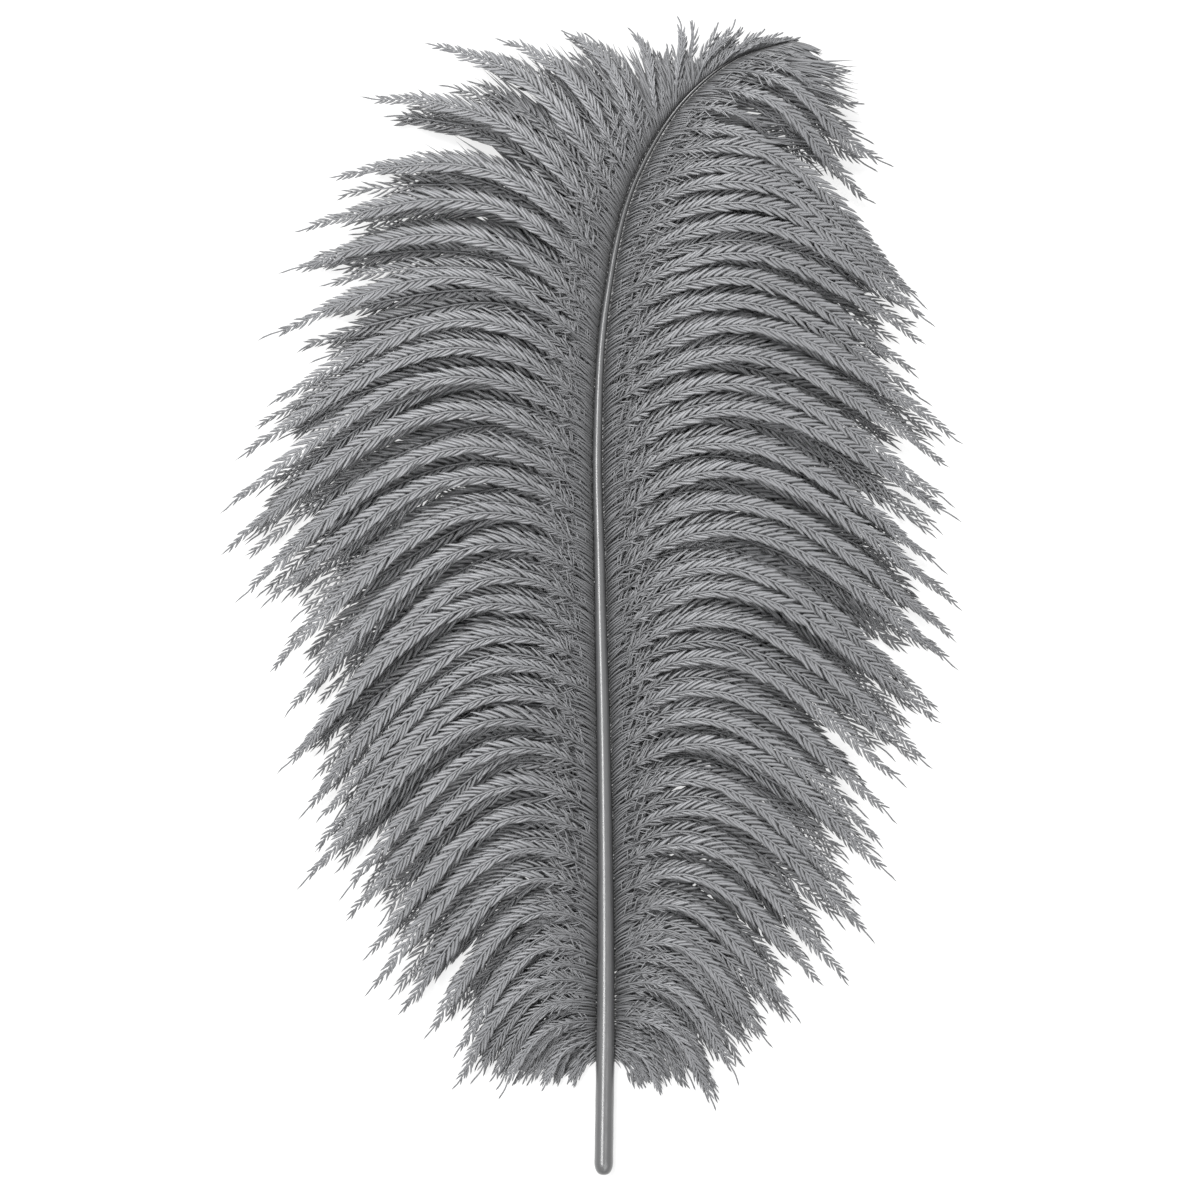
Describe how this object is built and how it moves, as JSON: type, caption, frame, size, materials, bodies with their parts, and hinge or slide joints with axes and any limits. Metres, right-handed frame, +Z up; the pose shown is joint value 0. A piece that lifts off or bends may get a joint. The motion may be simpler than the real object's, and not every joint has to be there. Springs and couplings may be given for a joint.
{
  "type": "ostrich feather",
  "caption": "Grey ostrich wing plume lying face up: a tapered quill that bends over at its tip, with a broad soft web of drooping barbs down each side.",
  "frame": {"origin": "middle of the underside of the feather's box, on the surface that it lies on", "axes": "+Y runs up the quill from its butt to its tip, +X towards the right-hand web seen from above, +Z up out of the surface"},
  "size_m": [0.2834, 0.4502, 0.0364],
  "materials": {
    "quill_keratin": "smooth satin keratin, grey",
    "barb_down": "soft matt down, grey"
  },
  "bodies": {
    "root": {"quill": "quill_keratin", "web_left": "barb_down", "web_right": "barb_down"}
  },
  "joints": []
}
